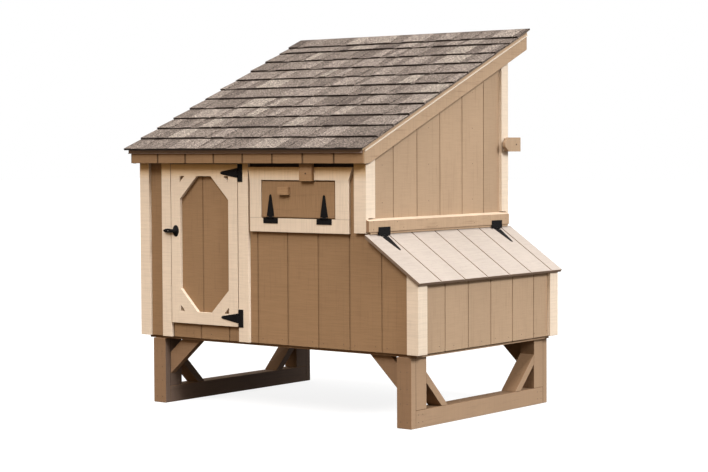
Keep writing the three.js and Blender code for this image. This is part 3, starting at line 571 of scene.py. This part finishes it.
# ---- shingles --------------------------------------------------------------------------------------
EXPOSURE = 143 * MM              # of the even courses, along the slope
SHORT_EXPOSURE = 93 * MM         # of the one under the top course
EVEN_COURSES = 10
SHINGLE_BASE = 3.0 * MM          # thickness where a course runs out under the next
BUTT = 6.0 * MM                  # backing layer's lower edge
TAB = 5.0 * MM                   # extra thickness of a laminated tab
SHINGLE_LENGTH = 985 * MM
TAB_WIDTHS = (55, 70, 85, 105, 130, 160)
EAVE_TAB_WIDTHS = (65, 75, 85)
TAB_GAPS = (25, 40, 60, 85)
JOINT = 4 * MM                   # dark line between neighbouring tabs
EAVE_BUTT = 4.0 * MM
EAVE_TAB = 4.0 * MM
LEFT_REACH = 7 * MM              # the courses run a little past the deck on the left
SHADOW_BAND = 11 * MM            # dark granules printed at the head of each course, with painted shade from the next course's edge
CAP = 9 * MM                     # thickness at the roof's rear edge


def slab(bm, tones, tone, span, along, low, high, bed):
    """A piece of shingle: span across, along the slope, low and high are its (under, upper) heights."""
    cos, sin = math.cos(ROOF_TILT), math.sin(ROOF_TILT)
    corners = []
    for layer in (0, 1):
        for distance, heights, x in ((along[0], low, span[0]), (along[0], low, span[1]),
                                     (along[1], high, span[1]), (along[1], high, span[0])):
            height = heights[layer]
            corners.append(bm.verts.new((x, bed[0] + distance * cos - height * sin,
                                         bed[1] + distance * sin + height * cos)))
    faces = ((0, 3, 2, 1), (4, 5, 6, 7), (0, 1, 5, 4), (2, 3, 7, 6), (1, 2, 6, 5), (3, 0, 4, 7))
    for index, face in enumerate(faces):
        made = bm.faces.new([corners[i] for i in face])
        made[tones] = tone
        made.material_index = 1 if index == 2 else 0


def course_edges(length):
    """Where each course starts and ends up the slope; the top course takes what is left."""
    even = [i * EXPOSURE for i in range(EVEN_COURSES + 1)]
    return [*even, even[-1] + SHORT_EXPOSURE, length]


def backing(bm, tones, edges, along, lag, thin, bed):
    """A course's full-width layer in shingle lengths, with its dark band showing under the next course."""
    x = edges[0] - lag * SHINGLE_LENGTH
    thick = SHINGLE_BASE + (BUTT if along[0] else EAVE_BUTT)
    band = along[1] - SHADOW_BAND
    band_height = thin + (thick - thin) * SHADOW_BAND / (along[1] - along[0])
    while x < edges[1]:
        span = (max(x, edges[0]), min(x + SHINGLE_LENGTH - 0.8 * MM, edges[1]))
        if span[1] - span[0] > 10 * MM:
            tone = random.uniform(0.15, 0.35)
            slab(bm, tones, tone, span, (along[0], band), (0.0, thick), (0.0, band_height), bed)
            slab(bm, tones, 0.0, span, (band, along[1]), (0.0, band_height), (0.0, thin), bed)
        x += SHINGLE_LENGTH


def tabs(bm, tones, edges, along, widths, thin, bed):
    """Laminated tabs of random width over the backing; each has its own tone, thickness and lower edge."""
    x = edges[0] - random.uniform(0.0, 0.1)
    under = SHINGLE_BASE + (BUTT if along[0] else EAVE_BUTT) - 0.6 * MM
    raised = TAB if along[0] else EAVE_TAB
    while x < edges[1]:
        width = random.choice(widths) * MM * random.uniform(0.9, 1.1)
        span = (max(x, edges[0]), min(x + width - JOINT, edges[1]))
        drop = random.uniform(-3.0, 2.0) * MM if along[0] else 0.0
        stop = along[1] - random.uniform(0.0, 0.7) * SHADOW_BAND
        if span[1] - span[0] > 10 * MM:
            tone = min(0.70, max(0.0, random.gauss(0.45, 0.18)))
            thick = raised * random.uniform(0.8, 1.1)
            slab(bm, tones, tone, span, (along[0] + drop, stop), (under, under + thick),
                 (thin - 1.5 * MM, thin + 1.2 * MM), bed)
            joint = (span[1], min(span[1] + JOINT, edges[1]))
            slab(bm, tones, 0.0, joint, (along[0] + 1 * MM, stop), (under, under + 0.9 * MM),
                 (thin - 1.5 * MM, thin + 0.9 * MM), bed)
        x += width
        if random.random() < 0.5:
            x += random.choice(TAB_GAPS) * MM


def shingle_roof():
    random.seed(41)
    low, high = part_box("roof_shingles")
    bm = bmesh.new()
    tones = bm.faces.layers.float.new("tab_tone")
    deck_top = at(0, SHINGLE_FRONT, EAVE_Z + DECK / math.cos(ROOF_TILT)).z + SHINGLE_FRONT * MM * ROOF_SLOPE
    bed = (low[1] + 4 * MM, deck_top + 2 * MM)
    starts = course_edges((high[1] - bed[0]) / math.cos(ROOF_TILT))
    edges = (low[0] - LEFT_REACH, high[0] - 1.5 * MM)
    last = len(starts) - 2
    for course, along in enumerate(zip(starts, starts[1:])):
        thin = CAP if course == last else SHINGLE_BASE
        widths = TAB_WIDTHS if course else EAVE_TAB_WIDTHS
        backing(bm, tones, edges, along, course * 0.37 % 1.0, thin, bed)
        tabs(bm, tones, edges, along, widths, thin, bed)
    piece = finish_mesh("laid_shingles", bm, granules)
    piece.data.materials.append(asphalt)
    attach(piece, "house")
    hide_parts("roof_shingles")


# ---- drip edge -------------------------------------------------------------------------------------
def roof_z(y):
    """Underside of the roof deck at y, both in millimetres from the siding corner."""
    return EAVE_Z + ROOF_SLOPE * y


def strip(name, points, span, axis, material, slot):
    """A bent strip: an outline of (across, up) points carried along x, y or the roof, in millimetres."""
    bm = bmesh.new()
    rings = []
    for end in span:
        rise = ROOF_SLOPE * end if axis == "roof_y" else 0.0
        rings.append([bm.verts.new(at(end, u, v) if axis == "x" else at(u, end, v + rise))
                      for u, v in points])
    count = len(points)
    for i in range(count):
        bm.faces.new((rings[0][i], rings[0][(i + 1) % count], rings[1][(i + 1) % count], rings[1][i]))
    bm.faces.new(rings[0])
    bm.faces.new(rings[1][::-1])
    piece = finish_mesh(name, bm, material)
    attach(piece, "house")


def drip_edges():
    """Flanges over the roof deck's edges, each with a lip kicked out along its foot."""
    eave = roof_z(-68)
    bent = [(-69.8, eave + 15), (-69.8, eave - 7), (-74.5, eave - 11.5), (-74.0, eave - 12.6),
            (-68.4, eave - 8), (-68.4, eave + 15)]
    strip("eave_drip_edge", bent, (-54, RAIL_FACE), "x", drip_brown, "siding_paint")
    for side, face, out in (("left", -STUD, -1), ("right", RAIL_FACE, 1)):
        flange = [(face + out * u, EAVE_Z + v) for u, v in ((0.3, 16), (1.6, 16), (1.6, -5), (0.3, -5))]
        lip = [(face + out * u, EAVE_Z + v) for u, v in ((0.3, -5.3), (2.2, -5.3), (6.4, -6.5),
                                                         (6.4, -11.5), (5.0, -12.0), (0.3, -7.0))]
        strip(side + "_rake_drip_edge", flange, (-53, 1417), "roof_y", drip_tan, "siding_paint")
        strip(side + "_rake_drip_lip", lip, (-53, 1417), "roof_y", lip_cream, "trim_paint")


def eave_shade_sheet():
    """Painted shade: a near-black sheet with folded edges between the vent's header and the fascia, under
    the eave.
    """
    profile = [(-0.3, 921.7), (-1.9, 921.9), (-1.9, 924.5), (-1.0, 925.5), (-1.0, 945.5), (-1.9, 946.5),
               (-1.9, 949.0), (-0.3, 949.2)]
    strip("eave_vent_screen", profile, (769, 1463), "x", shade_sheet_black, "black_iron")


def rail_foot_strip():
    """Thin packing under the lid's rail, over the nest's edge board."""
    profile = [(1531, 596.7), (1531, 585.4), (1532, 585), (1559, 585), (1560, 585.4), (1560, 596.7)]
    strip("rail_foot_strip", profile, (2, 1236), "y", tan_y, "siding_paint")


# ---- fastenings ------------------------------------------------------------------------------------
def dome_ring(bm, place, outward, radius, height, recess):
    """A domed head with a dimple, standing on a surface."""
    turn = Vector(outward).to_track_quat("Z", "Y").to_matrix().to_4x4()
    turn.translation = place
    sides = 10
    profile = [(1.0, -0.15), (0.96, 0.45), (0.72, 0.86), (0.42, 1.0), (0.26, 1.0 - recess)]
    rings = []
    for reach, lift in profile:
        ring = []
        for i in range(sides):
            angle = 2 * math.pi * i / sides
            ring.append(bm.verts.new(turn @ Vector((radius * reach * math.cos(angle),
                                                    radius * reach * math.sin(angle), height * lift))))
        rings.append(ring)
    for a, b in zip(rings, rings[1:]):
        for i in range(sides):
            bm.faces.new((a[i], a[(i + 1) % sides], b[(i + 1) % sides], b[i]))
    bm.faces.new(rings[-1])
    bm.faces.new(rings[0][::-1])


def heads(name, places, outward, radius, height, material, body, recess=0.5):
    """Several nail or screw heads as one piece; places are millimetres from the siding corner."""
    bm = bmesh.new()
    for place in places:
        dome_ring(bm, at(*place), outward, radius * MM, height * MM, recess)
    piece = finish_mesh(name, bm, material, smooth=True)
    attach(piece, body)


def hinge_screws():
    """Pan heads through the door's and the vent's leaves and straps, and through the lid hinges' plates."""
    face = LEAF_FACE
    for place, z in (("lower", 124), ("upper", 889)):
        plate = [(DOOR_PIN_X + 22, face, z + up) for up in (-36, 0, 36)]
        strap = [(DOOR_PIN_X - over, face, z + up) for over, up in ((24, -11), (24, 11), (62, 0), (98, 0))]
        heads(place + "_door_hinge_plate_screws", plate, (0, -1, 0), 4.0, 1.7, iron, "house")
        heads(place + "_door_hinge_strap_screws", strap, (0, -1, 0), 4.0, 1.7, iron, "door")
    for place, x in (("left", 924), ("right", 1281)):
        plate = [(x + over, face, VENT_PIN_Z - 19) for over in (-37, 0, 37)]
        strap = [(x + over, face, VENT_PIN_Z + up) for over, up in ((-11, 24), (11, 24), (0, 62), (0, 98))]
        heads(place + "_vent_hinge_plate_screws", plate, (0, -1, 0), 3.6, 1.7, iron, "house")
        heads(place + "_vent_hinge_strap_screws", strap, (0, -1, 0), 3.6, 1.7, iron, "vent_door")
    for place, y in (("front", 106), ("rear", 1116)):
        plate = [(RAIL_FACE + 2.5, y + over, 605) for over in (-36, 0, 36)]
        heads(place + "_lid_hinge_plate_screws", plate, (1, 0, 0), 3.6, 1.7, iron, "house")


def siding_nails():
    """Rows of nails along the foot of each sheet and up the lines of the studs."""
    front = [(FIRST_GROOVE + PITCH * k + over, 0, z) for k in range(2, 7)
             for over, z in ((30, 24), (-42, 27))]
    front += [(225 + 130 * k, 0, 26) for k in range(4)]
    heads("front_foot_nails", front, (0, -1, 0), 2.4, 0.8, steel, "house")
    nest = [(NEST_FACE, 60 + 124 * k, 24 + 5 * (k % 2)) for k in range(10)]
    heads("nest_foot_nails", nest, (1, 0, 0), 2.4, 0.8, steel, "house")
    side = [(HOUSE_WIDTH, y, z) for y in STUD_Y for z in range(740, int(roof_z(y)) - 110, 190)]
    heads("right_wall_nails", side, (1, 0, 0), 2.4, 0.8, steel, "house")
    left = [(0, y, z) for y in STUD_Y for z in range(60, int(roof_z(y)) - 110, 190)]
    heads("left_wall_nails", left, (-1, 0, 0), 2.4, 0.8, steel, "house")
    rear = [(FIRST_GROOVE + PITCH * k + 30, HOUSE_DEPTH, z) for k in range(-1, 5)
            for z in range(40, 1480, 240)]
    heads("rear_wall_nails", rear, (0, 1, 0), 2.4, 0.8, steel, "house")


def base_nails():
    """Pairs down each leg board, and where posts, skids and rails are nailed."""
    pairs = [(x + over, z) for x in LEG_X for z in (-88, -172, -246, -336) for over in (-21, 19)]
    legs = [(x, 0, z) for x, z in pairs]
    heads("front_leg_nails", legs, (0, -1, 0), 2.6, 0.9, steel, "house")
    rear = [(x, HOUSE_DEPTH, z) for x, z in pairs]
    heads("rear_leg_nails", rear, (0, 1, 0), 2.6, 0.9, steel, "house")
    skid = [(SKID_FACE, y, z) for y in (60, 95, 1145, 1180) for z in (-302, -340)]
    heads("right_skid_nails", skid, (1, 0, 0), 2.6, 0.9, steel, "house")
    uneven = ((18, 20), (18, -20), (215, 14), (270, -16), (470, 16), (560, -18), (760, 15), (900, -14),
              (1040, 17), (1205, 0))
    rail = [(RAIL_FACE, y, 629 + up) for y, up in uneven]
    heads("hinge_rail_nails", rail, (1, 0, 0), 2.4, 0.9, steel, "house")
    heads("catch_screw", [LID_CATCH_SCREW], (1, 0, 0), 4.6, 2.0, steel, "lid_catch")
    heads("vent_button_screw", [VENT_BUTTON_SCREW], (0, -1, 0), 4.6, 2.0, steel, "vent_button")


# ---- latch -----------------------------------------------------------------------------------------
def loft(bm, sections):
    """Joins closed rings of points, in order, and caps both ends."""
    rings = [[bm.verts.new(p) for p in ring] for ring in sections]
    for a, b in zip(rings, rings[1:]):
        for i in range(len(a)):
            bm.faces.new((a[i], a[(i + 1) % len(a)], b[(i + 1) % len(b)], b[i]))
    bm.faces.new(rings[0][::-1])
    bm.faces.new(rings[-1])


def oval(centre, u, v, sides=20):
    """Points of an oval about centre, spanned by the half axes u and v."""
    return [Vector(centre) + Vector(u) * math.cos(2 * math.pi * i / sides) +
            Vector(v) * math.sin(2 * math.pi * i / sides) for i in range(sides)]


def latch_rose():
    """Oval plate behind the lever, domed towards the rim."""
    bm = bmesh.new()
    profile = [(1.0, -19.2), (1.0, -20.6), (0.93, -22.4), (0.78, -23.8), (0.5, -24.6), (0.46, -26.6),
               (0.34, -27.4)]
    loft(bm, [oval(at(LATCH_X, y, LATCH_Z), (22 * k * MM, 0, 0), (0, 0, 31.5 * k * MM)) for k, y in profile])
    piece = finish_mesh("latch_rose", bm, iron, smooth=True)
    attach(piece, "door")


def latch_lever():
    """Drop-shaped lever on its hub and spindle, and the bar behind the wall."""
    bm = bmesh.new()
    shape = [(-83, 0.8), (-80, 3.6), (-74, 7.2), (-63, 10.6), (-48, 11.8), (-34, 11.0), (-22, 9.0),
             (-12, 9.4), (0, 11.0), (8, 9.0), (12, 5.0)]
    loft(bm, [oval(at(LATCH_X + x, -31.5, LATCH_Z), (0, 0.62 * r * MM, 0), (0, 0, r * MM), 16)
              for x, r in shape])
    stem = [(-34, 7.5), (-28, 7.5), (-27, 5.0), (23, 5.0)]
    loft(bm, [oval(at(LATCH_X, y, LATCH_Z), (r * MM, 0, 0), (0, 0, r * MM), 16) for y, r in stem])
    bar = [(-62, 5.0), (-60, 7.6), (6, 7.6), (8, 5.0)]
    loft(bm, [oval(at(LATCH_X, 20.5, LATCH_Z + z), (r * 1.05 * MM, 0, 0), (0, 2.4 * MM, 0), 12)
              for z, r in bar])
    piece = finish_mesh("latch_handle", bm, iron, smooth=True)
    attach(piece, "latch")
    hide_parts("door_latch_lever")
    grub = (LATCH_X - 42, -37.4, LATCH_Z)
    heads("latch_grub_screw", [grub], (0, -1, 0), 3.2, 1.2, bright, "latch", 0.2)


# ---- vent mesh -------------------------------------------------------------------------------------
def vent_mesh():
    """Welded wire cloth stapled over the vent's opening, inside the wall."""
    pitch, wire = 12.7, 0.55
    x = (870, 1342)
    z = (668, 842)
    bm = bmesh.new()
    upright = int((x[1] - x[0]) / pitch)
    for i in range(upright + 1):
        place = x[0] + i * pitch
        loft(bm, [oval(at(place, 17.2, end), (wire * MM, 0, 0), (0, wire * MM, 0), 6) for end in z])
    for i in range(int((z[1] - z[0]) / pitch) + 1):
        place = z[0] + i * pitch
        loft(bm, [oval(at(end, 18.0, place), (0, wire * MM, 0), (0, 0, wire * MM), 6) for end in x])
    piece = finish_mesh("vent_wire_cloth", bm, zinc, smooth=True)
    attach(piece, "house")


shingle_roof()
drip_edges()
eave_shade_sheet()
rail_foot_strip()
hinge_screws()
siding_nails()
base_nails()
latch_rose()
latch_lever()
vent_mesh()
